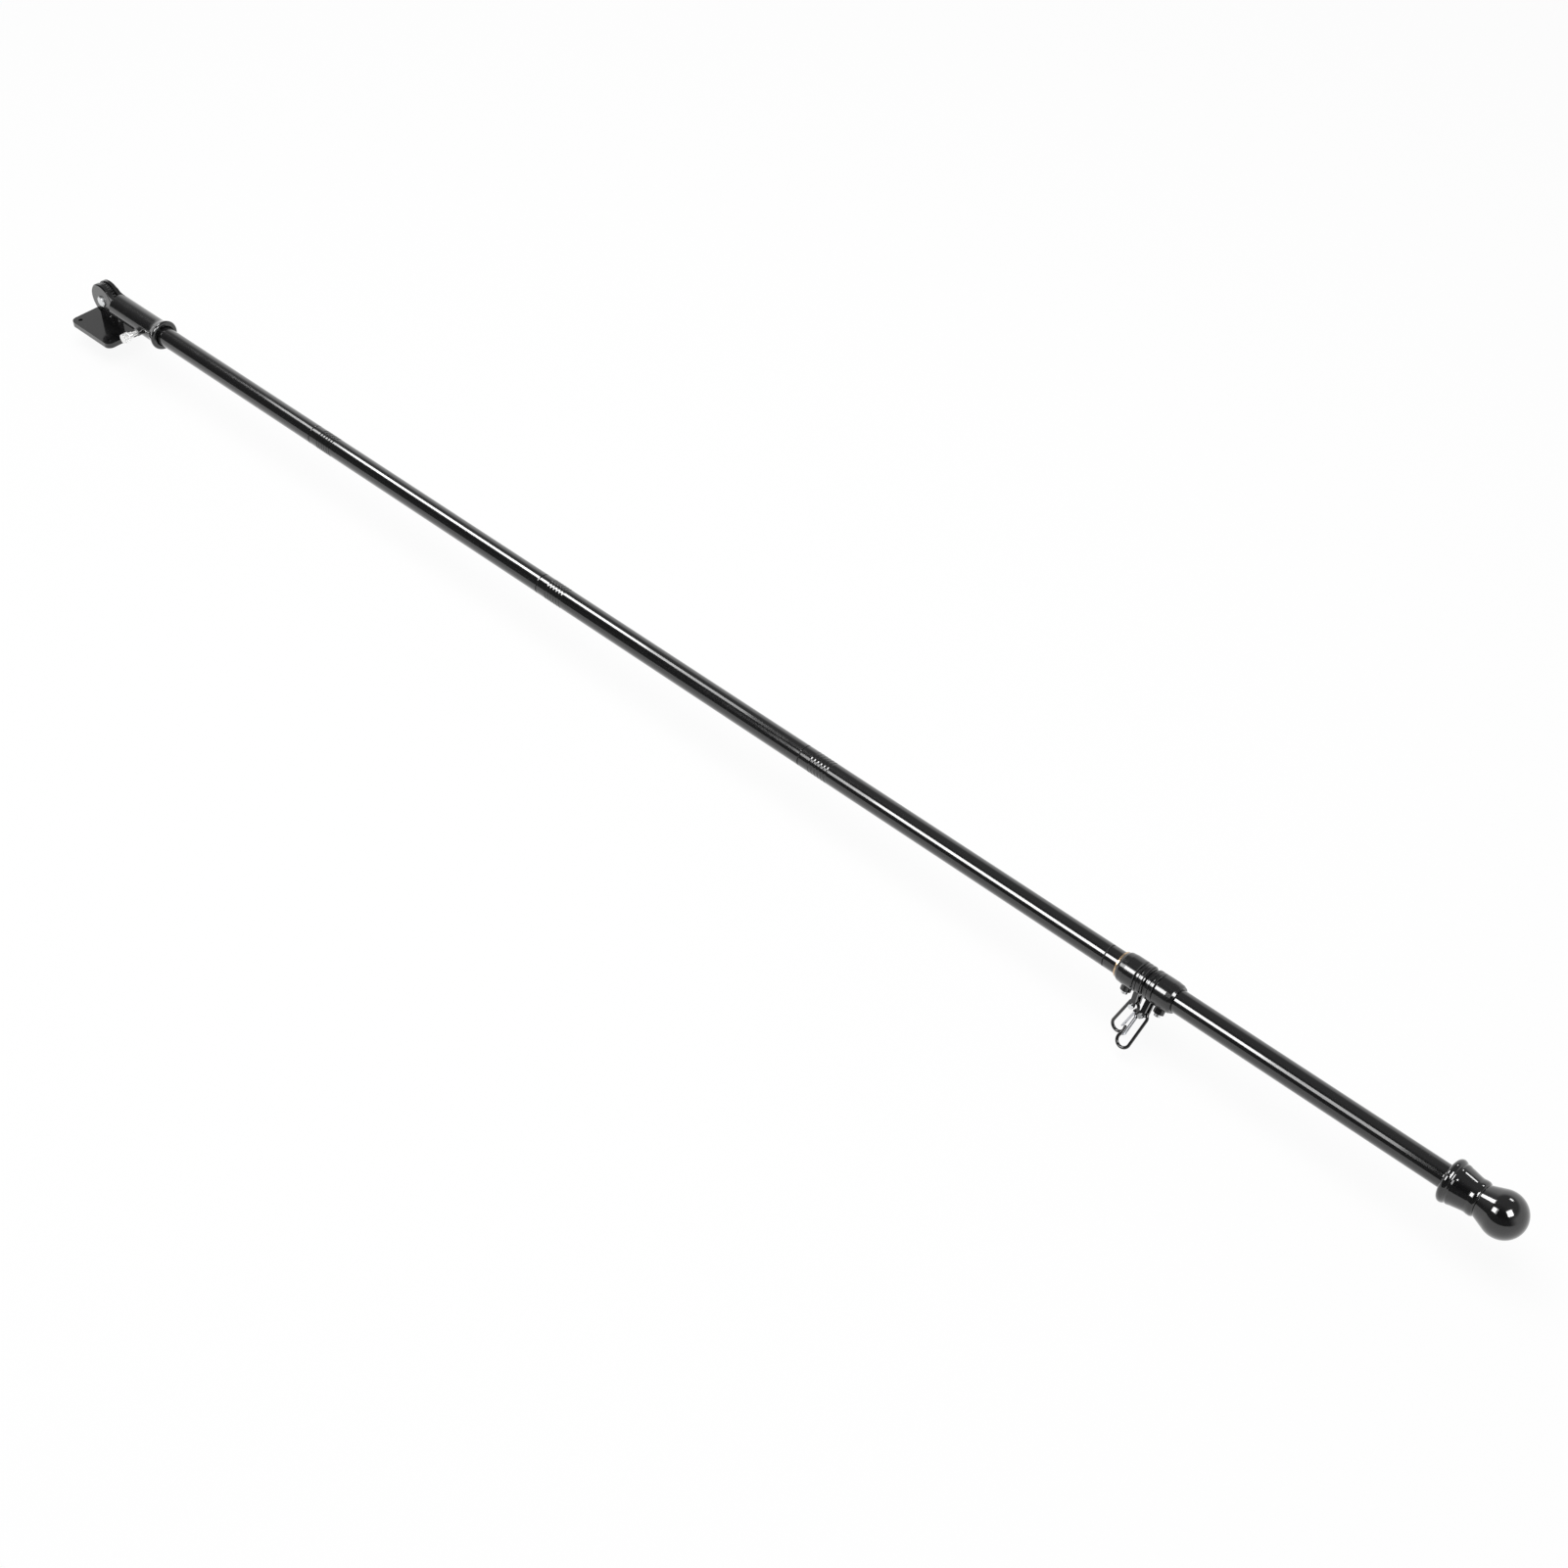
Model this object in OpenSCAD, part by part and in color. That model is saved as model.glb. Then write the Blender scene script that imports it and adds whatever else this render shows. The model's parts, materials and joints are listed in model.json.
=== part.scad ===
// Wall-mounted flagpole: tilting cast bracket, five-section tube pole,
// two turning flag rings with snap clips, turned ball finial.
// Frame: origin at the centre of the base plate's back face,
// +X along the pole away from the bracket, +Z off the plate.

/* [Pole] */
// Outside diameter of the pole tube
tube_d = 25.4; // [19:0.1:38]
// Length of one pole section from seam to seam
section_len = 425; // [250:1:600]
// Wall thickness of the pole tube
tube_wall = 1.0; // [0.6:0.1:2.5]
// Length of pole held inside the bracket socket
socket_depth = 100; // [60:1:140]
// Length of section one that shows between socket and first seam
first_show = 318; // [150:1:500]
// Length of section five from its seam to the finial
last_show = 401; // [250:1:600]
// Width of the seam that shows between two sections
seam_w = 1; // [0.3:0.1:2]

/* [Rolled grooves] */
// Grooves rolled into the tube past each seam
groove_n = 6; // [3:1:8]
// Spacing of the rolled grooves
groove_pitch = 4.75; // [3:0.05:8]
// Depth of a rolled groove
groove_depth = 0.8; // [0.3:0.05:1.5]
// Plain tube between a seam and its first groove
groove_start = 14.5; // [6:0.5:30]

/* [Base plate] */
// Length of the base plate along the pole
plate_l = 88; // [60:1:140]
// Width of the base plate across the pole
plate_w = 72; // [50:1:120]
// Thickness of the base plate
plate_t = 7; // [4:0.5:12]
// Corner radius of the base plate
plate_r = 9; // [3:0.5:20]
// Diameter of the four fixing holes
hole_d = 6; // [4:0.1:9]
// Distance of a fixing hole from the plate edges
hole_inset = 10; // [7:0.5:20]

/* [Tilting hub] */
// Height of the tilt pivot above the back face
pivot_z = 47; // [36:0.5:70]
// Distance of the pivot from the plate centre along the pole
pivot_x = 5; // [-15:0.5:15]
// Radius of the round ears and of the lug
hub_r = 24; // [16:0.5:32]
// Thickness of the middle lug
lug_t = 6.5; // [4:0.1:12]
// Thickness of each arm ear
ear_t = 6; // [4:0.1:12]
// Gap between each ear and the lug
hub_gap = 0.3; // [0.1:0.05:1]
// Locking teeth round the lug rim
tooth_n = 36; // [12:2:60]

/* [Pivot bolt] */
// Shank diameter of the pivot bolt
bolt_d = 8; // [5:0.1:12]
// Diameter of the pivot bolt head
bolt_head_d = 15; // [9:0.5:22]
// Height of the pivot bolt head
bolt_head_h = 4; // [2:0.1:8]

/* [Socket arm] */
// Wall of the arm tube round the pole
arm_wall = 3.3; // [2:0.1:8]
// How far the flared lip stands out from the arm tube
lip_out = 4; // [1:0.5:10]
// Position of the socket mouth along the pole
mouth_x = 134; // [100:1:200]
// Position of the thumb screw along the pole
thumb_x = 100; // [60:1:170]

/* [Thumb screw] */
// Thread diameter of the thumb screw
thumb_d = 6; // [4:0.5:8]
// Head diameter of the thumb screw
thumb_head_d = 13; // [9:0.5:20]
// Length of the thumb screw head
thumb_head_l = 8.5; // [5:0.5:14]
// Length of the plain collar under the head
thumb_collar_l = 6; // [2:0.5:10]

/* [Flag rings] */
// Distance of the ring pair's middle from the fourth seam
rings_from_seam = 52.5; // [45:0.5:300]
// Wall of a clamp sleeve round the pole
sleeve_wall = 4.3; // [3.4:0.1:10]
// Length of a clamp sleeve
sleeve_l = 23; // [16:0.5:40]
// Width of a turning ring
ring_w = 9; // [6:0.5:14]
// Wall of a turning ring round the sleeve's spigot
ring_wall = 1.92; // [1.4:0.02:5]
// Half gap between the two rings
ring_gap = 2.6; // [1.5:0.1:6]
// Drop of the ear screw below the turning ring
ear_drop = 16.2; // [12:0.1:30]
// Lean of ring A's ears towards the front, degrees
ring_a_deg = 16; // [0:1:90]
// Lean of ring B's ears towards the front, degrees
ring_b_deg = 34; // [0:1:90]
// Lean of sleeve A's screw boss, degrees
boss_a_deg = 26; // [0:1:90]
// Lean of sleeve B's screw boss, degrees
boss_b_deg = 36; // [0:1:90]

/* [Snap clips] */
// Diameter of the clip body rod
rod_d = 3.5; // [2.5:0.1:5]
// Radius of the clip's top bend
clip_r1 = 5.8; // [5:0.1:9]
// Radius of the clip's bottom bend
clip_r2 = 7.5; // [4:0.1:10]
// Distance between the centres of the two bends
clip_l = 32; // [22:0.5:45]
// Wire diameter of the snap gate
gate_d = 1.8; // [1.2:0.1:2.5]
// Swing of clip A towards the bracket, degrees
clip_a_deg = 17; // [0:1:40]
// Swing of clip B towards the bracket, degrees
clip_b_deg = 12; // [0:1:40]

/* [Finial] */
// Diameter of the ball
ball_d = 48; // [34:0.5:70]
// How far the flange stands out from the pole
flange_out = 10.6; // [6:0.1:18]
// How far the waist of the neck stands out from the pole
waist_out = 5.8; // [3:0.1:12]
// Length of the neck from flange to ball rim
neck_l = 38.7; // [30:0.1:60]
// Distance of the ball's middle from the neck rim
bulb_l = 22.8; // [18:0.1:32]

/* [Hidden] */
$fn = 64;
eps = 0.01;
end_c = 0.4;
tr = tube_d / 2;
tri = tr - tube_wall;
arm_d = tube_d + 2 * arm_wall;
lip_d = arm_d + 2 * lip_out;
sleeve_d = tube_d + 2 * sleeve_wall;
boss_z = sleeve_d / 2 + 5;
flange_d = tube_d + 2 * flange_out;
waist_d = tube_d + 2 * waist_out;
fit_c = 0.05;
lug_r = hub_r - 1.8;
bevel = 1.6;
ear_turn = hub_r * 0.62;
arm_in = mouth_x - socket_depth;
seam_1 = mouth_x + first_show;
seam_2 = seam_1 + section_len;
seam_3 = seam_2 + section_len;
seam_4 = seam_3 + section_len;
pole_end = seam_4 + last_show;
ear_y = lug_t / 2 + hub_gap;
ear_out = ear_y + ear_t;
head_sink = 1.5;
nut_h = 6;
washer_t = 1.2;
wash_gap = 0.05;
rings_x = seam_4 + rings_from_seam;
rod_r = rod_d / 2;
pin_r = 1.5;
pin_play = 0.15;
gate_r = gate_d / 2;
bar_r = rod_r - 0.04;
spigot_r = tr + 2.1;
ring_ir = spigot_r + 0.08;
ring_d = 2 * (ring_ir + ring_wall);
ear_reach = ring_d / 2 + ear_drop;
lip_snap = 0.45;
ear_w = 5.5;
ear_th = 3;
ear_gap = 7.6;
ear_x = ring_gap + ring_w - ear_w / 2;
boss_x = ring_gap + ring_w + 0.4 + 10;
insert_in = 22;
neck_spigot = 30;
thumb_in = tr + 0.3;
boss_out = arm_d / 2 + 5;

// ---- helpers ----

function rev(v) = [for (i = [len(v) - 1 : -1 : 0]) v[i]];

// rounded curve through points v, with n steps between two of them
function smooth(v, n) = concat([for (i = [0 : len(v) - 2], k = [0 : n - 1])
    let (t = k / n, a = v[max(i - 1, 0)], b = v[i], c = v[i + 1],
        d = v[min(i + 2, len(v) - 1)])
    0.5 * (2 * b + (c - a) * t + (2 * a - 5 * b + 4 * c - d) * t * t
        + (3 * b - a - 3 * c + d) * t * t * t)], [v[len(v) - 1]]);

// turned shape about the pole axis: polygon points are [x, radius]
module turned(pts, z = pivot_z)
    translate([0, 0, z])
        rotate([0, 90, 0])
            rotate([0, 0, 90])
                rotate_extrude($fn = 96)
                    polygon([for (p = pts) [p[1], p[0]]]);

// cylinder along X from x0 to x1 on the pole axis
module cyl_x(x0, x1, r, z = pivot_z)
    translate([x0, 0, z])
        rotate([0, 90, 0])
            cylinder(h = x1 - x0, r = r);

// cylinder along Y from y0 to y1
module cyl_y(x, z, y0, y1, r)
    translate([x, y0, z])
        rotate([-90, 0, 0])
            cylinder(h = y1 - y0, r = r);

// ---- bracket ----

module plate_outline()
    union() {
        square([plate_l - 2 * plate_r, plate_w], center = true);
        square([plate_l, plate_w - 2 * plate_r], center = true);
        for (sx = [-1, 1], sy = [-1, 1])
            translate([sx * (plate_l / 2 - plate_r),
                    sy * (plate_w / 2 - plate_r)])
                circle(r = plate_r);
    }

module fixing_holes()
    for (sx = [-1, 1], sy = [-1, 1])
        translate([sx * (plate_l / 2 - hole_inset),
                sy * (plate_w / 2 - hole_inset), -1])
            cylinder(h = plate_t + 2, d = hole_d);

// side outline of the lug: round top, sides running down to the plate
module lug_outline()
    union() {
        translate([pivot_x, pivot_z])
            circle(r = lug_r);
        polygon([[pivot_x - hub_r + 3, pivot_z - 11],
            [pivot_x + hub_r - 3, pivot_z - 11],
            [pivot_x + hub_r - 3, plate_t - 1],
            [pivot_x - hub_r + 3, plate_t - 1]]);
    }

// small notches round the top of the lug that lock the tilt
module lug_teeth()
    for (i = [0 : tooth_n / 2])
        translate([pivot_x, 0, pivot_z])
            rotate([0, -i * 360 / tooth_n, 0])
                translate([lug_r, 0, 0])
                    rotate([0, 45, 0])
                        cube([1.5, lug_t + 2, 1.5], center = true);

module base_plate()
    color([0.03, 0.03, 0.03])
        difference() {
            union() {
                linear_extrude(height = plate_t)
                    plate_outline();
                translate([0, lug_t / 2, 0])
                    rotate([90, 0, 0])
                        linear_extrude(height = lug_t)
                            lug_outline();
            }
            fixing_holes();
            lug_teeth();
            cyl_y(pivot_x, pivot_z, -lug_t, lug_t, bolt_d / 2 + fit_c);
        }

// one ear of the fork, a disc running out into the arm
module arm_ear(y0, out)
    union() {
        cyl_y(pivot_x, pivot_z, y0 + (out < 0 ? bevel : 0),
            y0 + ear_t - (out < 0 ? 0 : bevel), hub_r);
        translate([pivot_x, out < 0 ? y0 + bevel : y0 + ear_t - bevel,
                pivot_z])
            rotate([-90 * out, 0, 0])
                cylinder(h = bevel, r1 = hub_r, r2 = hub_r - bevel);
        translate([0, y0 + ear_t - (out < 0 ? 0 : 0.4), 0])
            rotate([90, 0, 0])
                linear_extrude(height = ear_t - 0.4)
                    ear_web();
    }

// the S-curved web that runs from the round ear down into the tube
module ear_web()
    translate([pivot_x, pivot_z])
        polygon(concat(web_edge(1), rev(web_edge(-1))));

function web_edge(s) = [[0, s * (hub_r - 4)],
    [ear_turn, s * sqrt(pow(hub_r, 2) - pow(ear_turn, 2))],
    [hub_r * 0.74, s * (arm_d / 2 + 0.6)],
    [hub_r * 0.85, s * (arm_d / 2 - 1)],
    [hub_r + 1, s * (arm_d / 2 - 1.9)],
    [hub_r + 6, s * (arm_d / 2 - 2.4)]];

module socket_arm()
    color([0.03, 0.03, 0.03])
        difference() {
            union() {
                arm_ear(-ear_out, -1);
                arm_ear(ear_y, 1);
                turned(concat([[pivot_x + hub_r + 1, 0],
                    [pivot_x + hub_r + 1, arm_d / 2 - 1],
                    [pivot_x + hub_r + 2, arm_d / 2]],
                    smooth([[mouth_x - 18, arm_d / 2],
                    [mouth_x - 13, arm_d / 2 + 0.5],
                    [mouth_x - 8, (arm_d + lip_d) / 4 + 0.3],
                    [mouth_x - 4.6, lip_d / 2 - 0.4],
                    [mouth_x - 2.6, lip_d / 2],
                    [mouth_x - 0.8, lip_d / 2 - 0.9],
                    [mouth_x, lip_d / 2 - 2.6]], 4),
                    [[mouth_x, 0]]));
                cyl_y(thumb_x, pivot_z, -boss_out, -arm_d / 2 + 2, 5.5);
            }
            cyl_x(arm_in - 0.3, mouth_x + 1, tr + fit_c);
            turned([[mouth_x - 1.5, 0],
                [mouth_x - 1.5, tr],
                [mouth_x + 0.5, tr + 2.4],
                [mouth_x + 0.5, 0]]);
            cyl_y(thumb_x, pivot_z, -boss_out - 1, 0, thumb_d / 2 + fit_c);
            cyl_y(pivot_x, pivot_z, -ear_out - 1, ear_out + 1,
                bolt_d / 2 + fit_c);
            cyl_y(pivot_x, pivot_z, -ear_out - 1, -ear_out + head_sink,
                bolt_head_d / 2 + 0.3);
        }

module pivot_bolt()
    color([0.8, 0.8, 0.82])
        union() {
            cyl_y(pivot_x, pivot_z, -ear_out + head_sink - 1,
                ear_out + washer_t + nut_h + 2, bolt_d / 2);
            cyl_y(pivot_x, pivot_z, -ear_out + head_sink - bolt_head_h + 1,
                -ear_out + head_sink - wash_gap, bolt_head_d / 2);
            translate([pivot_x, -ear_out + head_sink - bolt_head_h + 1,
                    pivot_z])
                rotate([90, 0, 0])
                    cylinder(h = 1, r1 = bolt_head_d / 2,
                        r2 = bolt_head_d / 2 - 1);
        }

module pivot_washer()
    color([0.8, 0.8, 0.82])
        difference() {
            cyl_y(pivot_x, pivot_z, ear_out + wash_gap,
                ear_out + washer_t, bolt_d);
            cyl_y(pivot_x, pivot_z, ear_out - 1,
                ear_out + washer_t + 1, bolt_d / 2 + 0.2);
        }

module pivot_nut()
    color([0.8, 0.8, 0.82])
        difference() {
            translate([pivot_x, ear_out + washer_t + wash_gap, pivot_z])
                rotate([-90, 0, 0])
                    cylinder(h = nut_h, r = bolt_d * 0.92, $fn = 6);
            cyl_y(pivot_x, pivot_z, ear_out, ear_out + 14,
                bolt_d / 2 + fit_c);
        }

module thumb_screw()
    color([0.85, 0.85, 0.87])
        difference() {
            union() {
                cyl_y(thumb_x, pivot_z, -boss_out - 8, -thumb_in,
                    thumb_d / 2);
                cyl_y(thumb_x, pivot_z, -boss_out - 8 - thumb_collar_l,
                    -boss_out - 8, thumb_head_d / 2 - 2);
                cyl_y(thumb_x, pivot_z,
                    -boss_out - 8 - thumb_collar_l - thumb_head_l,
                    -boss_out - 8 - thumb_collar_l, thumb_head_d / 2);
            }
            for (i = [0 : 17])
                translate([thumb_x, 0, pivot_z])
                    rotate([0, i * 20, 0])
                        translate([thumb_head_d / 2 + 0.3, 0, 0])
                            cyl_y(0, 0,
                                -boss_out - 9.5 - thumb_collar_l
                                    - thumb_head_l,
                                -boss_out - 8.5 - thumb_collar_l, 0.9);
        }

// ---- pole ----

// [x, radius] points of a wall with rolled grooves, seen from radius r
function grooves(x0, r) = [for (i = [0 : groove_n - 1], k = [0 : 3])
    [x0 + groove_start + i * groove_pitch + [0.3, 1.2, 2.2, 3.1][k],
        r - [0, 1, 1, 0][k] * groove_depth]];

// grooved section from x0 to x1, hollow right through
module grooved_tube(x0, x1)
    color([0.02, 0.02, 0.02])
        turned(concat([[x0, tri], [x0, tr - end_c], [x0 + end_c, tr]],
            grooves(x0, tr),
            [[x1 - end_c, tr], [x1, tr - end_c], [x1, tri]],
            rev(grooves(x0, tri))));

module pole_section_1()
    color([0.02, 0.02, 0.02])
        turned([[arm_in, tri], [arm_in, tr],
            [seam_1 - seam_w / 2 - end_c, tr],
            [seam_1 - seam_w / 2, tr - end_c],
            [seam_1 - seam_w / 2, tri]]);

module pole_section_2() grooved_tube(seam_1 + seam_w / 2,
    seam_2 - seam_w / 2);
module pole_section_3() grooved_tube(seam_2 + seam_w / 2,
    seam_3 - seam_w / 2);
module pole_section_4() grooved_tube(seam_3 + seam_w / 2,
    seam_4 - seam_w / 2);
module pole_section_5() grooved_tube(seam_4 + seam_w / 2, pole_end);

// plug held by the grooves, with a stub that enters the next tube
module joint_insert(x)
    color([0.6, 0.6, 0.62])
        turned(concat([[x - insert_in, 0], [x - insert_in, tri - 1.2],
            [x - insert_in + 1.2, tri - fit_c]],
            grooves(x + seam_w / 2, tri - fit_c),
            [[x + groove_start + groove_n * groove_pitch + 3,
                tri - fit_c],
            [x + groove_start + groove_n * groove_pitch + 3, 0]]));

module joint_insert_1() joint_insert(seam_1);
module joint_insert_2() joint_insert(seam_2);
module joint_insert_3() joint_insert(seam_3);
module joint_insert_4() joint_insert(seam_4);

// ---- flag rings; drawn for the side away from the bracket ----

module on_axis(deg)
    translate([rings_x, 0, pivot_z])
        rotate([-deg, 0, 0])
            children();

module turned0(pts)
    translate([0, 0, -pivot_z])
        turned(pts);

module sleeve_side()
    difference() {
        union() {
            turned0([[ring_gap + ring_w + 0.4, 0],
                [ring_gap + ring_w + 0.4, sleeve_d / 2 - 1.2],
                [ring_gap + ring_w + 1.5, sleeve_d / 2],
                [ring_gap + ring_w + sleeve_l - 9, sleeve_d / 2],
                [ring_gap + ring_w + sleeve_l - 3, sleeve_d / 2 - 0.7],
                [ring_gap + ring_w + sleeve_l, sleeve_d / 2 - 2.2],
                [ring_gap + ring_w + sleeve_l, 0]]);
            turned0([[0.8, 0], [0.8, spigot_r],
                [1.2, spigot_r + lip_snap],
                [ring_gap - 0.4, spigot_r + lip_snap],
                [ring_gap - 0.1, spigot_r],
                [ring_gap + ring_w + 1, spigot_r],
                [ring_gap + ring_w + 1, 0]]);
            translate([boss_x, 0, -boss_z])
                cylinder(h = 10, r = 6);
        }
        turned0([[-1, 0], [-1, tr + fit_c], [60, tr + fit_c], [60, 0]]);
        translate([boss_x, 0, -boss_z - 2])
            cylinder(h = boss_z + 2, r = 2 + fit_c);
        translate([boss_x, 0, -boss_z - 2])
            cylinder(h = 4, r = 4.2);
    }

module set_screw_side()
    union() {
        translate([boss_x, 0, -boss_z - 1])
            cylinder(h = boss_z + 1 - tr - 0.2, r = 2);
        translate([boss_x, 0, -boss_z - 3.5])
            cylinder(h = 5.4, r = 3.6);
    }

module ring_side()
    difference() {
        union() {
            turned0([[ring_gap, ring_ir], [ring_gap, ring_d / 2 - 0.7],
                [ring_gap + 0.7, ring_d / 2],
                [ring_gap + ring_w / 2 - 1.3, ring_d / 2],
                [ring_gap + ring_w / 2 - 0.6, ring_d / 2 - 1],
                [ring_gap + ring_w / 2 + 0.6, ring_d / 2 - 1],
                [ring_gap + ring_w / 2 + 1.3, ring_d / 2],
                [ring_gap + ring_w - 1, ring_d / 2],
                [ring_gap + ring_w, ring_d / 2 - 1.1],
                [ring_gap + ring_w, ring_ir]]);
            for (s = [-1, 1])
                translate([ear_x - ear_w / 2,
                        s * (ear_gap / 2 + ear_th / 2) - ear_th / 2,
                        -ear_reach])
                    cube([ear_w, ear_th, ear_reach - ring_ir - 0.6]);
            for (s = [-1, 1])
                cyl_y(ear_x, -ear_reach,
                    s * (ear_gap / 2 + ear_th / 2) - ear_th / 2,
                    s * (ear_gap / 2 + ear_th / 2) + ear_th / 2,
                    ear_w / 2);
        }
        cyl_x(ring_gap - 1, ring_gap + ring_w + 1, ring_ir, 0);
        cyl_y(ear_x, -ear_reach, -12, 12, pin_r + fit_c);
    }

module ear_screw_side()
    union() {
        cyl_y(ear_x, -ear_reach, -ear_gap / 2 - ear_th - 0.5,
            ear_gap / 2 + ear_th + 1.2, pin_r);
        cyl_y(ear_x, -ear_reach, -ear_gap / 2 - ear_th - 2,
            -ear_gap / 2 - ear_th - wash_gap, 2.7);
    }

// ---- snap clip, drawn hanging from the pin at its own origin ----

c1 = [0, pin_r + pin_play + rod_r - clip_r1];
c2 = [0, c1[1] - clip_l];
tan_a = acos((clip_r1 - clip_r2) / clip_l);
spine_a = -90 - tan_a;
hinge_a = -28;
nose_a = 12;
hinge_p = c1 + clip_r1 * [cos(hinge_a), sin(hinge_a)];
nose_p = c2 + clip_r2 * [cos(nose_a), sin(nose_a)];
nose_t = nose_p + 3 * [-sin(nose_a), cos(nose_a)];
leg_y = rod_r + 0.3 + gate_r;
gate_e = nose_t + [-rod_r - 0.3 - gate_r, 0.4];

// bend of the rod about c, from angle a0 to a1
module bend(c, r, a0, a1)
    translate([c[0], 0, c[1]])
        rotate([90, 0, 0])
            rotate([0, 0, a0])
                rotate_extrude(angle = a1 - a0, $fn = 72)
                    translate([r, 0])
                        circle(r = rod_r, $fn = 24);

// straight round bar in the XZ plane at height y, e longer at each end
module bar(p, q, r, y = 0, e = 0)
    translate([p[0], y, p[1]])
        rotate([0, atan2(q[0] - p[0], q[1] - p[1]), 0])
            translate([0, 0, -e])
                cylinder(h = norm(q - p) + 2 * e, r = r, $fn = 24);

module clip_body()
    difference() {
        union() {
            bend(c1, clip_r1, hinge_a, 360 + spine_a);
            bar(c1 + clip_r1 * [cos(spine_a), sin(spine_a)],
                c2 + clip_r2 * [cos(spine_a), sin(spine_a)], bar_r, 0, 0.5);
            bend(c2, clip_r2, spine_a, nose_a);
            bar(nose_p, nose_t, bar_r, 0, 0.5);
            translate([nose_t[0], 0, nose_t[1]])
                sphere(r = rod_r, $fn = 32);
            cyl_y(hinge_p[0], hinge_p[1], -rod_r, rod_r, 2.4);
        }
        cyl_y(hinge_p[0], hinge_p[1], -4, 4, gate_r + fit_c);
    }

module clip_gate()
    union() {
        cyl_y(hinge_p[0], hinge_p[1], -leg_y, leg_y, gate_r);
        cyl_y(gate_e[0], gate_e[1], -leg_y, leg_y, gate_r);
        for (s = [-1, 1]) {
            bar(hinge_p, gate_e, gate_r - 0.03, s * leg_y);
            for (p = [hinge_p, gate_e])
                translate([p[0], s * leg_y, p[1]])
                    sphere(r = gate_r + 0.03, $fn = 32);
        }
    }

// places a clip piece on ring A or on ring B
module on_pin_a()
    on_axis(ring_a_deg)
        translate([-ear_x, 0, -ear_reach])
            rotate([0, clip_a_deg, 0])
                children();

module on_pin_b()
    on_axis(ring_b_deg)
        translate([ear_x, 0, -ear_reach])
            rotate([0, clip_b_deg, 0])
                mirror([1, 0, 0])
                    children();

module side_a(deg)
    on_axis(deg)
        mirror([1, 0, 0])
            children();

module side_b(deg)
    on_axis(deg)
        children();

module end_ring()
    color([0.72, 0.6, 0.45])
        side_a(0)
            turned0([[ring_gap + ring_w + sleeve_l, tr + fit_c],
                [ring_gap + ring_w + sleeve_l, tr + 1.8],
                [ring_gap + ring_w + sleeve_l + 1.6, tr + 1.8],
                [ring_gap + ring_w + sleeve_l + 2.2, tr + 1.2],
                [ring_gap + ring_w + sleeve_l + 2.2, tr + fit_c]]);

module sleeve_a() color([0.05, 0.05, 0.05]) side_a(boss_a_deg) sleeve_side();
module sleeve_b() color([0.05, 0.05, 0.05]) side_b(boss_b_deg) sleeve_side();
module set_screw_a()
    color([0.8, 0.8, 0.82]) side_a(boss_a_deg) set_screw_side();
module set_screw_b()
    color([0.8, 0.8, 0.82]) side_b(boss_b_deg) set_screw_side();
module flag_ring_a() color([0.05, 0.05, 0.05]) side_a(ring_a_deg) ring_side();
module flag_ring_b() color([0.05, 0.05, 0.05]) side_b(ring_b_deg) ring_side();
module ear_screw_a()
    color([0.8, 0.8, 0.82]) side_a(ring_a_deg) ear_screw_side();
module ear_screw_b()
    color([0.8, 0.8, 0.82]) side_b(ring_b_deg) ear_screw_side();
module clip_body_a() color([0.04, 0.04, 0.05]) on_pin_a() clip_body();
module clip_body_b() color([0.04, 0.04, 0.05]) on_pin_b() clip_body();
module clip_gate_a() color([0.8, 0.8, 0.82]) on_pin_a() clip_gate();
module clip_gate_b() color([0.8, 0.8, 0.82]) on_pin_b() clip_gate();

// ---- finial ----

ball_x = pole_end + neck_l + bulb_l;
rim_r = waist_d / 2 - 1.6;
// the cone meets the ball where a line from the rim touches it
rim_far = norm([bulb_l, rim_r]);
touch_b = atan2(rim_r, bulb_l) + acos(ball_d / 2 / rim_far);

module finial_neck()
    color([0.02, 0.02, 0.02])
        turned(concat([[pole_end - neck_spigot, 0],
            [pole_end - neck_spigot, tri - 1],
            [pole_end - neck_spigot + 1, tri - fit_c],
            [pole_end, tri - fit_c],
            [pole_end, tr + 2.2]],
            smooth([[pole_end + 0.4, tr + 3.6],
            [pole_end + 2.2, flange_d / 2 - 2.2],
            [pole_end + 4.2, flange_d / 2 - 0.4],
            [pole_end + 6.4, flange_d / 2],
            [pole_end + 8.6, flange_d / 2 - 0.7],
            [pole_end + 10.6, (flange_d + waist_d) / 4 + 0.4],
            [pole_end + 12.8, (flange_d + waist_d) / 4 + 0.7],
            [pole_end + 16, (flange_d + waist_d) / 4 - 0.1],
            [pole_end + neck_l * 0.5, waist_d / 2 + 1.7],
            [pole_end + neck_l * 0.62, waist_d / 2 + 0.8],
            [pole_end + neck_l * 0.76, waist_d / 2],
            [pole_end + neck_l - 5.4, waist_d / 2 + 0.4],
            [pole_end + neck_l - 2.6, waist_d / 2 + 0.3],
            [pole_end + neck_l - 0.8, waist_d / 2 - 0.6],
            [pole_end + neck_l, rim_r]], 4),
            [[pole_end + neck_l, 0]]));

// round ball that runs back in a short cone to the rim of the neck
module finial_ball()
    color([0.02, 0.02, 0.02])
        turned(concat([[pole_end + neck_l + fit_c, 0],
            [pole_end + neck_l + fit_c, rim_r]],
            [for (i = [0 : 55]) let (b = touch_b + (180 - touch_b) * i / 56)
                [ball_x - ball_d / 2 * cos(b), ball_d / 2 * sin(b)]],
            [[ball_x + ball_d / 2, 0]]));

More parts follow.
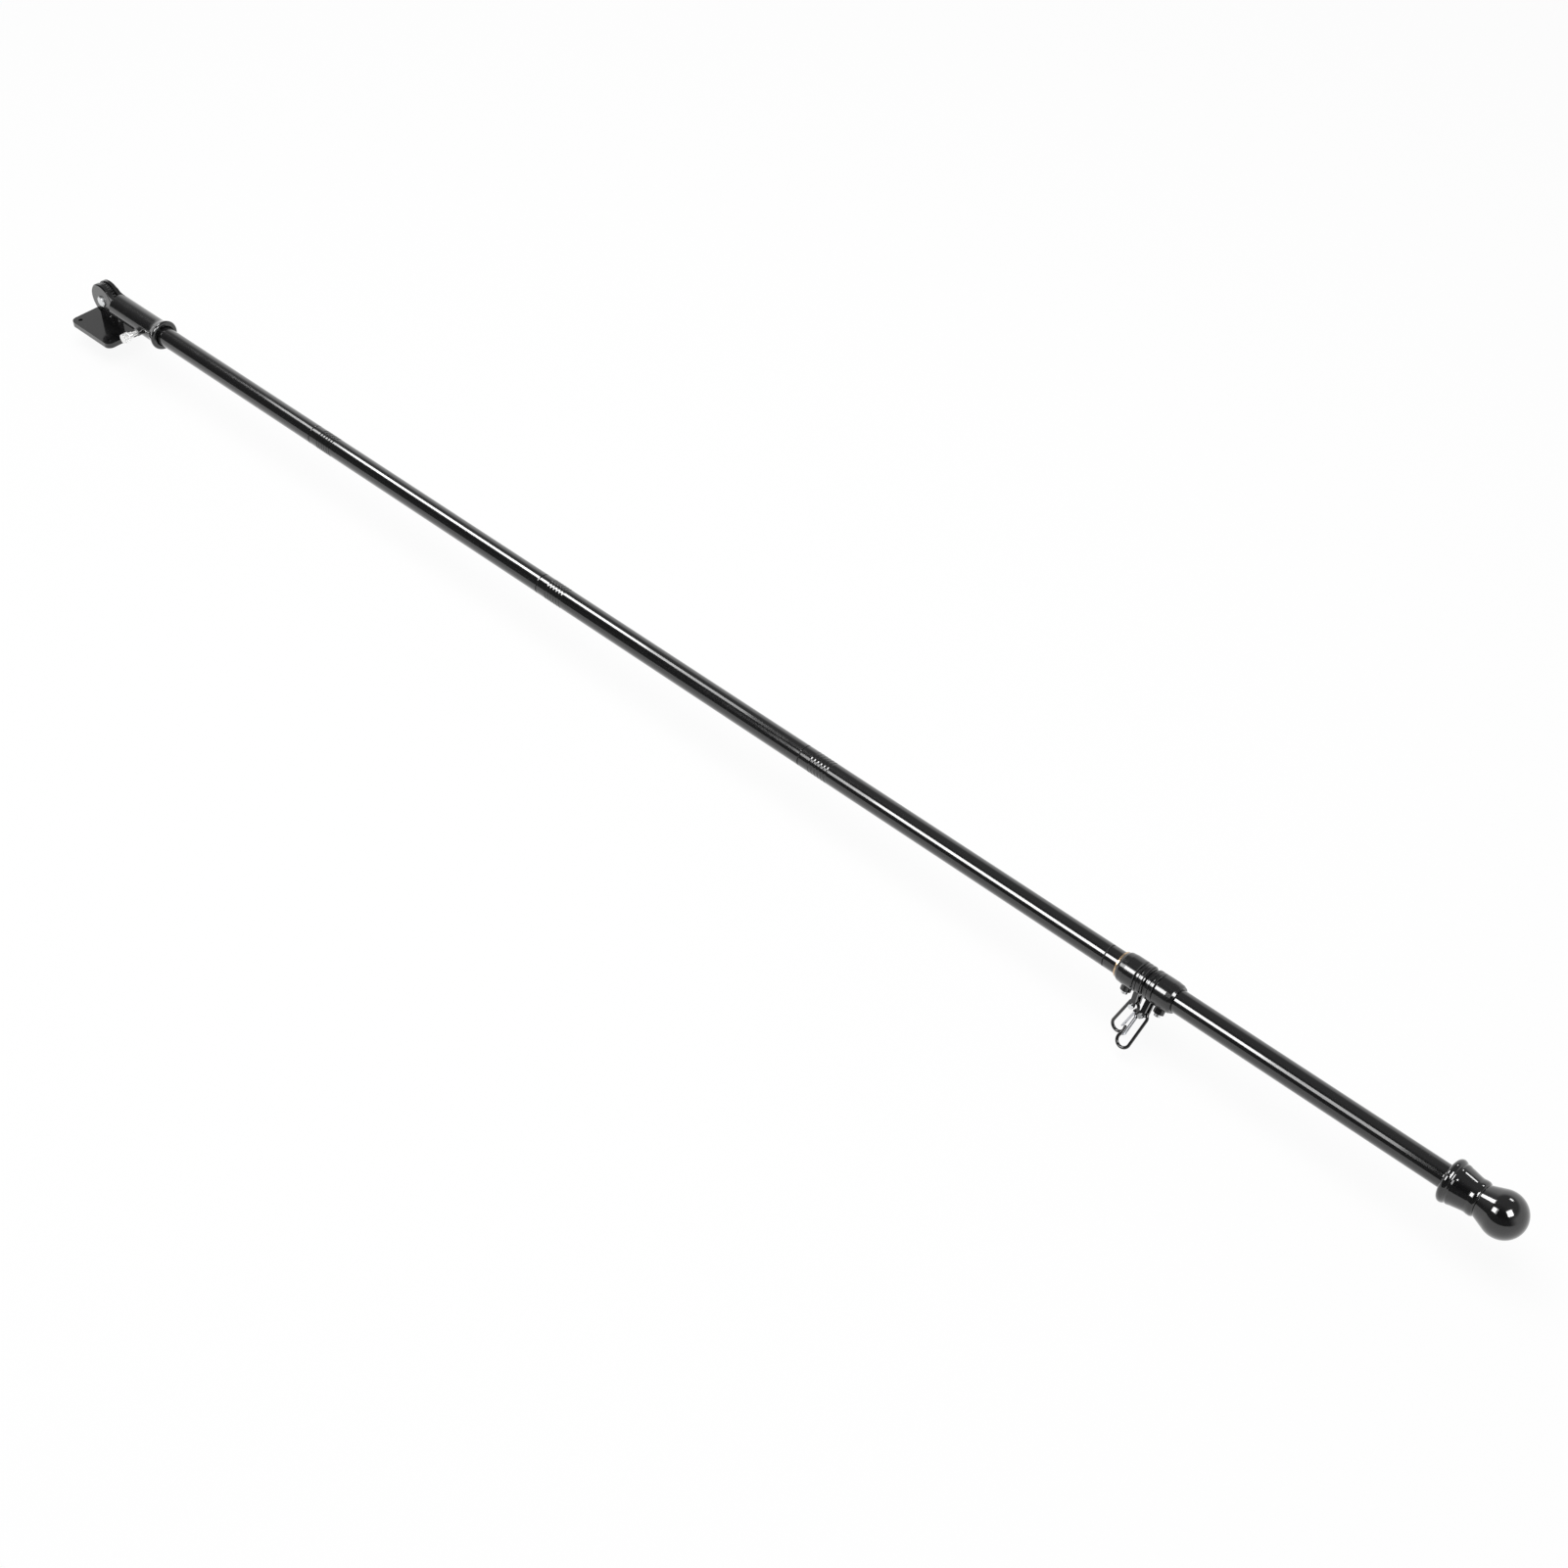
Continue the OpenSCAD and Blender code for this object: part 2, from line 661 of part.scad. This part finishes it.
base_plate();
socket_arm();
pivot_bolt();
pivot_washer();
pivot_nut();
thumb_screw();
pole_section_1();
pole_section_2();
pole_section_3();
pole_section_4();
pole_section_5();
joint_insert_1();
joint_insert_2();
joint_insert_3();
joint_insert_4();
end_ring();
sleeve_a();
sleeve_b();
set_screw_a();
set_screw_b();
flag_ring_a();
flag_ring_b();
ear_screw_a();
ear_screw_b();
clip_body_a();
clip_body_b();
clip_gate_a();
clip_gate_b();
finial_neck();
finial_ball();
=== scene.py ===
import json

import bpy
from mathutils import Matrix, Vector


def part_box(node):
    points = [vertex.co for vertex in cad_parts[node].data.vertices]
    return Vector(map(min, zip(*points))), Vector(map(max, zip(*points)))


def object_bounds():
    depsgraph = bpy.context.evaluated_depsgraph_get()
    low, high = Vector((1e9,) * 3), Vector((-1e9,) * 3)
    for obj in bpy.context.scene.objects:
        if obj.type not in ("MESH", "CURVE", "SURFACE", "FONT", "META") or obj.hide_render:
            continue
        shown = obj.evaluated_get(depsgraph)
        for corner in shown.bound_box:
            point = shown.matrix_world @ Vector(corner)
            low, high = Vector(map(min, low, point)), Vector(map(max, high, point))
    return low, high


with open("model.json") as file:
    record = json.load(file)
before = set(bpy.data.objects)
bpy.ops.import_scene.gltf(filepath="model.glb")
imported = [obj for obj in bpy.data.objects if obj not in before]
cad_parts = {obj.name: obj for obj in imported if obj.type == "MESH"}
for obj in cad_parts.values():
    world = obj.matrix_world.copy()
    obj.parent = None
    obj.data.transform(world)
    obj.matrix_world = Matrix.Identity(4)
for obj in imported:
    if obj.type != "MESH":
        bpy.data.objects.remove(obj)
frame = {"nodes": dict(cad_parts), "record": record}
cad_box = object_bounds()
MM = 0.001

# ---------------------------------------------------------------- helpers


def paint_colour(text):
    """sRGB hex text as the linear colour that a shader takes."""
    parts = [int(text[i:i + 2], 16) / 255 for i in (1, 3, 5)]
    return [c / 12.92 if c <= 0.04045 else ((c + 0.055) / 1.055) ** 2.4 for c in parts] + [1.0]


def node(tree, kind, settings=None, links=None):
    """Adds one shader node. Settings are its properties, or its sockets by name or number."""
    made = tree.nodes.new(kind)
    for key, value in (settings or {}).items():
        if isinstance(key, str) and hasattr(made, key):
            setattr(made, key, value)
        else:
            made.inputs[key].default_value = value
    for key, source in (links or {}).items():
        tree.links.new(source, made.inputs[key])
    return made


def empty_tree(owner):
    """The node tree of a material or the world, with nothing in it."""
    owner.use_nodes = True
    owner.node_tree.nodes.clear()
    return owner.node_tree


def link(name, data):
    """A camera or lamp as an object in the scene."""
    made = bpy.data.objects.new(name, data)
    bpy.context.scene.collection.objects.link(made)
    return made


def aim(thing, direction):
    """Turns a camera or lamp to look along a direction."""
    thing.rotation_mode = "QUATERNION"
    thing.rotation_quaternion = direction.to_track_quat("-Z", "Y")


# ---------------------------------------------------------------- places

tube_low, tube_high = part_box("pole_section_1")
pole_axis_z = (tube_low.z + tube_high.z) / 2
ball_low, ball_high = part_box("finial_ball")
ball_mid = (ball_low + ball_high) / 2

# ---------------------------------------------------------------- camera

SENSOR_WIDTH_MM = 36
LENS_MM = 58.71
CAMERA_PLACE = (2.6995, -1.4830, 1.963)
CAMERA_LOOKS = (-0.5003, 0.5191, -0.6930)
NEAREST_SEEN = 0.05
FARTHEST_SEEN = 60

camera = link("camera", bpy.data.cameras.new("camera"))
camera.data.sensor_width = SENSOR_WIDTH_MM
camera.data.lens = LENS_MM
camera.data.clip_start = NEAREST_SEEN
camera.data.clip_end = FARTHEST_SEEN
camera.location = CAMERA_PLACE
aim(camera, Vector(CAMERA_LOOKS).normalized())
bpy.context.scene.camera = camera

# ---------------------------------------------------------------- floor

FLOOR_GAP = 4 * MM
FLOOR_MIDDLE = (1.0, 0.5)
FLOOR_SIDE = 50
FLOOR_GLOW = 0.92


def studio_floor():
    """A white sheet just under the flagpole, which is no part of it."""
    bpy.ops.object.select_all(action="DESELECT")
    bpy.ops.mesh.primitive_plane_add(size=1, location=(*FLOOR_MIDDLE, cad_box[0].z - FLOOR_GAP))
    sheet = bpy.context.object
    sheet.name = "studio_floor"
    sheet.scale = (FLOOR_SIDE, FLOOR_SIDE, 1)
    return sheet


def pale_studio_floor():
    """Matt white that glows to the camera and in gloss, so that only a faint shadow shows on it."""
    material = bpy.data.materials.new("pale_studio_floor")
    tree = empty_tree(material)
    ray = node(tree, "ShaderNodeLightPath")
    seen = ray.outputs["Is Camera Ray"]
    for other_way in ("Is Glossy Ray", "Is Transmission Ray"):
        either = node(tree, "ShaderNodeMath", {"operation": "MAXIMUM"},
                      {0: seen, 1: ray.outputs[other_way]})
        seen = either.outputs[0]
    share = node(tree, "ShaderNodeMath", {"operation": "MULTIPLY", 1: FLOOR_GLOW}, {0: seen})
    matt = node(tree, "ShaderNodeBsdfDiffuse", {"Color": paint_colour("#f2f2f2")})
    glow = node(tree, "ShaderNodeEmission", {"Color": (1, 1, 1, 1), "Strength": 1.0})
    mixed = node(tree, "ShaderNodeMixShader",
                 links={0: share.outputs[0], 1: matt.outputs[0], 2: glow.outputs[0]})
    node(tree, "ShaderNodeOutputMaterial", links={"Surface": mixed.outputs[0]})
    return material


studio_floor().data.materials.append(pale_studio_floor())

# ---------------------------------------------------------------- room

# heights and sideways places are parts of a unit direction: 0.36 to 0.66 is 21 to 41 degrees up
WALL_FULL_UP_TO = 0.36
WALL_GONE_BY = 0.66
CEILING_LIGHT = 0.28
NEAR_SIDE_DARK_AT = -0.60
FAR_SIDE_LIT_AT = 0.05
NEAR_SIDE_LIGHT = 0.10


def studio_room():
    """White to the camera. To all else a white wall under a dim ceiling, dark on the near side."""
    world = bpy.data.worlds.new("studio")
    bpy.context.scene.world = world
    tree = empty_tree(world)
    ray = node(tree, "ShaderNodeLightPath")
    direction = node(tree, "ShaderNodeTexCoord")
    part = node(tree, "ShaderNodeSeparateXYZ", links={0: direction.outputs["Generated"]})
    height = node(tree, "ShaderNodeMapRange",
                  {"interpolation_type": "SMOOTHSTEP", "From Min": WALL_FULL_UP_TO,
                   "From Max": WALL_GONE_BY, "To Min": 1.0, "To Max": CEILING_LIGHT},
                  {"Value": part.outputs["Z"]})
    side = node(tree, "ShaderNodeMapRange",
                {"interpolation_type": "SMOOTHSTEP", "From Min": NEAR_SIDE_DARK_AT,
                 "From Max": FAR_SIDE_LIT_AT, "To Min": NEAR_SIDE_LIGHT, "To Max": 1.0},
                {"Value": part.outputs["Y"]})
    walls = node(tree, "ShaderNodeMath", {"operation": "MULTIPLY"},
                 {0: height.outputs[0], 1: side.outputs[0]})
    level = node(tree, "ShaderNodeMix", {"data_type": "FLOAT", 3: 1.0},
                 {0: ray.outputs["Is Camera Ray"], 2: walls.outputs[0]})
    back = node(tree, "ShaderNodeBackground", {"Color": (1, 1, 1, 1)}, {"Strength": level.outputs[0]})
    node(tree, "ShaderNodeOutputWorld", links={0: back.outputs[0]})


studio_room()

# ---------------------------------------------------------------- lamps


def lamp(name, place, target, size, watts, only_in_gloss):
    """A soft box that the camera never sees: it lights the scene, or else only shows in gloss."""
    data = bpy.data.lights.new(name, "AREA")
    data.shape = "RECTANGLE"
    data.size, data.size_y = size
    data.energy = watts
    made = link(name, data)
    made.location = place
    aim(made, Vector(target) - Vector(place))
    made.visible_camera = False
    made.visible_glossy = only_in_gloss
    made.visible_diffuse = not only_in_gloss


lamp("soft_overhead", (0.9, -0.3, 3.2), (1.0, 0, 0), (3.6, 2.4), 110, only_in_gloss=False)

# These draw the bright lines along the tube, each with a bright middle and a dimmer surround. The
# far pair is overhead, 1.2 m beyond the bracket, for the bracket's half of the pole. The near pair
# is lower, on the near side, for the finial's half.
under_far_pair = (-1.20, -0.05, 0)
lamp("box_far", (-1.20, -0.07, 2.55), under_far_pair, (1.10, 0.92), 41, only_in_gloss=True)
lamp("box_far_rim", (-1.20, -0.07, 2.56), under_far_pair, (1.75, 1.08), 33, only_in_gloss=True)
lamp("box_near", (0.60, -1.69, 1.89), (0.60, 0, pole_axis_z), (1.05, 0.90), 38, only_in_gloss=True)
lamp("box_near_rim", (0.64, -1.70, 1.90), (0.64, 0, pole_axis_z), (1.60, 1.12), 32, only_in_gloss=True)

# two more are placed for the finial's ball and neck to mirror
lamp("box_end", (3.53, -0.53, 2.12), ball_mid, (1.15, 1.15), 74, only_in_gloss=True)
lamp("box_back", (2.12, 1.67, 1.93), ball_mid, (0.62, 0.34), 9, only_in_gloss=True)

# ---------------------------------------------------------------- finishes

WIPE_MARKS_PER_METRE = 34.0
DUST_SPACING = 2.2 * MM
DUST_COLOUR = "#5a5a5c"
FILM_DEPTH = 0.02 * MM
GRAIN_DEPTH = 0.03 * MM
PAINT_IOR = 1.52
LACQUER_IOR = 1.5
LACQUER_ROUGH = 0.04
PLASTIC_IOR = 1.5
PLASTIC_ROUGH_SPREAD = 0.08


def gloss_black(name, base, rough, peel_mm, peel, speck, coat=0.6, smudge=0.06):
    """Black gloss: faint orange peel in its film, and dust and wipe marks in its shine.

    The specks are up to 0.4 mm across, so they show one by one in close views only.
    """
    material = bpy.data.materials.new(name)
    tree = empty_tree(material)
    on_piece = {"Vector": node(tree, "ShaderNodeTexCoord").outputs["Object"]}
    wipes = node(tree, "ShaderNodeTexNoise",
                 {"Scale": WIPE_MARKS_PER_METRE, "Detail": 4.0, "Roughness": 0.6}, on_piece)
    shine = node(tree, "ShaderNodeMapRange",
                 {"From Min": 0.35, "From Max": 0.75, "To Min": rough, "To Max": rough + smudge},
                 {"Value": wipes.outputs[0]})
    dust = node(tree, "ShaderNodeTexVoronoi", {"Scale": 1 / DUST_SPACING, "Randomness": 1.0}, on_piece)
    spots = node(tree, "ShaderNodeMapRange",
                 {"From Min": 0.03, "From Max": 0.10, "To Min": speck, "To Max": 0.0},
                 {"Value": dust.outputs["Distance"]})
    tint = node(tree, "ShaderNodeMix",
                {"data_type": "RGBA", 6: paint_colour(base), 7: paint_colour(DUST_COLOUR)},
                {0: spots.outputs[0]})
    film = node(tree, "ShaderNodeTexNoise", {"Scale": 1 / (peel_mm * MM), "Detail": 1.5}, on_piece)
    bump = node(tree, "ShaderNodeBump", {"Strength": peel, "Distance": FILM_DEPTH},
                {"Height": film.outputs[0]})
    shader = node(tree, "ShaderNodeBsdfPrincipled",
                  {"IOR": PAINT_IOR, "Coat Weight": coat,
                   "Coat Roughness": LACQUER_ROUGH, "Coat IOR": LACQUER_IOR},
                  {"Base Color": tint.outputs[2], "Roughness": shine.outputs[0],
                   "Normal": bump.outputs[0]})
    node(tree, "ShaderNodeOutputMaterial", links={"Surface": shader.outputs[0]})
    return material


def plated(name, base, rough, grain_mm, grain):
    """Plated or drawn metal with fine tool marks in its shine."""
    material = bpy.data.materials.new(name)
    tree = empty_tree(material)
    on_piece = {"Vector": node(tree, "ShaderNodeTexCoord").outputs["Object"]}
    marks = node(tree, "ShaderNodeTexNoise", {"Scale": 1 / (grain_mm * MM), "Detail": 3.0}, on_piece)
    shine = node(tree, "ShaderNodeMapRange",
                 {"From Min": 0.3, "From Max": 0.7, "To Min": rough * 0.7, "To Max": rough * 1.4},
                 {"Value": marks.outputs[0]})
    bump = node(tree, "ShaderNodeBump", {"Strength": grain, "Distance": FILM_DEPTH},
                {"Height": marks.outputs[0]})
    shader = node(tree, "ShaderNodeBsdfPrincipled",
                  {"Base Color": paint_colour(base), "Metallic": 1.0},
                  {"Roughness": shine.outputs[0], "Normal": bump.outputs[0]})
    node(tree, "ShaderNodeOutputMaterial", links={"Surface": shader.outputs[0]})
    return material


def moulded(name, base, rough, grain_mm, grain):
    """Moulded plastic with a fine sparked grain."""
    material = bpy.data.materials.new(name)
    tree = empty_tree(material)
    on_piece = {"Vector": node(tree, "ShaderNodeTexCoord").outputs["Object"]}
    skin = node(tree, "ShaderNodeTexNoise", {"Scale": 1 / (grain_mm * MM), "Detail": 2.0}, on_piece)
    bump = node(tree, "ShaderNodeBump", {"Strength": grain, "Distance": GRAIN_DEPTH},
                {"Height": skin.outputs[0]})
    shine = node(tree, "ShaderNodeMapRange",
                 {"From Min": 0.3, "From Max": 0.7,
                  "To Min": rough, "To Max": rough + PLASTIC_ROUGH_SPREAD},
                 {"Value": skin.outputs[0]})
    shader = node(tree, "ShaderNodeBsdfPrincipled",
                  {"Base Color": paint_colour(base), "IOR": PLASTIC_IOR},
                  {"Roughness": shine.outputs[0], "Normal": bump.outputs[0]})
    node(tree, "ShaderNodeOutputMaterial", links={"Surface": shader.outputs[0]})
    return material


finishes = {
    # smooth baked paint: long white lines with clean edges along the tube
    "tube_black": gloss_black("gloss_black_stoved_enamel_on_steel_tube", "#121213",
                              rough=0.10, peel_mm=0.9, peel=0.04, speck=0.05),
    # thicker paint over a casting: the same black, with highlights that waver a little
    "bracket_black": gloss_black("gloss_black_enamel_on_die_cast_aluminium", "#121213",
                                 rough=0.12, peel_mm=1.6, peel=0.25, speck=0.06),
    # nylon straight from the mould: a shade greyer and softer than paint
    "ring_black": gloss_black("moulded_gloss_black_nylon_rings", "#161617",
                              rough=0.14, peel_mm=1.2, peel=0.10, speck=0.04, coat=0.4),
    # rod dipped in black: a darker black with a softer shine
    "clip_black": gloss_black("black_dipped_steel_rod", "#0f0f10",
                              rough=0.16, peel_mm=0.8, peel=0.15, speck=0.03, coat=0.3),
    # the smoothest black here: the ball mirrors the room
    "finial_black": gloss_black("moulded_gloss_black_finial_plastic", "#121213",
                                rough=0.07, peel_mm=2.4, peel=0.08, speck=0.04),
    # zinc plating: pale grey metal with a broad, slightly cloudy shine
    "zinc_steel": plated("bright_zinc_plated_steel_screws", "#dcdedf",
                         rough=0.26, grain_mm=0.35, grain=0.3),
    # nickel plating: the palest metal, close to white
    "bright_thumb_screw": plated("bright_nickel_plated_thumb_screw", "#f0f0ef",
                                 rough=0.32, grain_mm=0.5, grain=0.15),
    # drawn wire: a darker grey than the screws, with a sharper shine
    "gate_steel": plated("drawn_stainless_gate_wire", "#c2c4c8",
                         rough=0.20, grain_mm=0.3, grain=0.2),
    # turned brass, pale and sandy: one thin light line on the pole
    "end_ring_brass": plated("pale_turned_brass_end_ring", "#cdb08c",
                             rough=0.28, grain_mm=0.4, grain=0.3),
    # plain moulded plastic: the only dull black
    "insert_plastic": moulded("moulded_black_joint_plug_plastic", "#161616",
                              rough=0.45, grain_mm=0.4, grain=0.4),
}
for subpart in frame["record"]["subparts"]:
    cad_node = frame["nodes"][subpart["node"]]
    cad_node.data.materials.clear()
    cad_node.data.materials.append(finishes[subpart["material_slot"]])

# ---------------------------------------------------------------- end

bpy.context.scene.view_settings.view_transform = "Standard"
